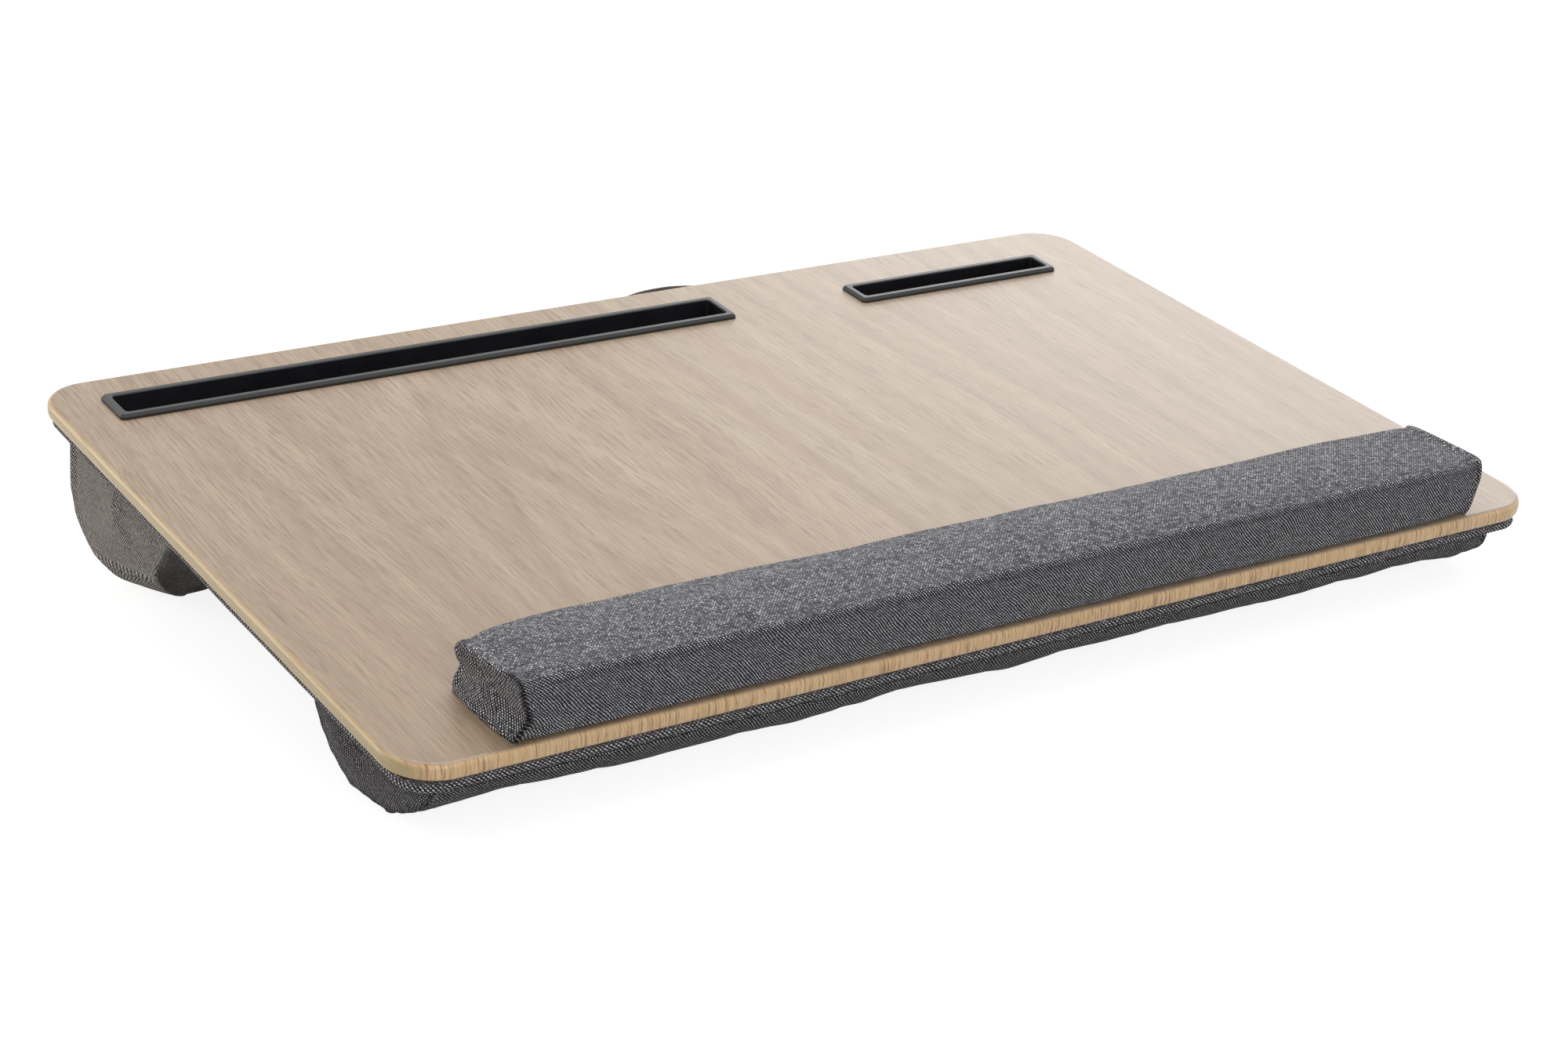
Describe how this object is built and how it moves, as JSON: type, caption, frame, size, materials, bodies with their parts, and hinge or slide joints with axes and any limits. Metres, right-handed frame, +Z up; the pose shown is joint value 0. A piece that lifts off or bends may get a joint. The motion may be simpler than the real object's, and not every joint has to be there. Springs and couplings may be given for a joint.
{
  "type": "cushioned lap desk",
  "caption": "Lap desk with an oak-look board, a tablet slot, a phone slot, a padded wrist rest and two stuffed fabric bolsters underneath, with a small carry loop at the rear.",
  "frame": {"origin": "middle of the bounding box at ground level, under the desk as it stands on its two bolsters", "axes": "+X to the right of the person using it, +Y from that person to the rear, +Z up; the board slopes 8.9 degrees down towards -Y"},
  "size_m": [0.55, 0.3814, 0.0856],
  "materials": {
    "board_core": "matte",
    "oak_film": "satin",
    "backing_paper": "matte",
    "black_plastic": "satin",
    "rest_fabric": "matte",
    "foam": "matte",
    "tape": "satin",
    "hook_tape": "matte",
    "loop_tape": "matte",
    "base_fabric": "matte",
    "hardboard": "matte",
    "bolster_fabric": "matte",
    "stuffing": "matte",
    "strap": "satin",
    "staple_steel": "satin"
  },
  "bodies": {
    "desk": {"board_core": "board_core", "wood_film": "oak_film", "board_backing": "backing_paper", "tablet_tray": "black_plastic", "phone_tray": "black_plastic", "wrist_rest_cover": "rest_fabric", "wrist_rest_foam": "foam", "wrist_rest_tape": "tape", "hook_strips": "hook_tape", "loop_strips": "loop_tape", "base_cover": "base_fabric", "base_panel": "hardboard", "rear_bolster_cover": "bolster_fabric", "rear_bolster_filling": "stuffing", "front_bolster_cover": "bolster_fabric", "front_bolster_filling": "stuffing", "strap_ends": "strap", "strap_staples": "staple_steel"},
    "handle": {"carry_loop": "strap"}
  },
  "joints": [
    {"name": "loop_swing", "type": "hinge", "parent": "desk", "child": "handle", "pos_m": [0.056, 0.16033, 0.07834], "axis": [1, 0, 0], "range_deg": [-50, 75]}
  ]
}
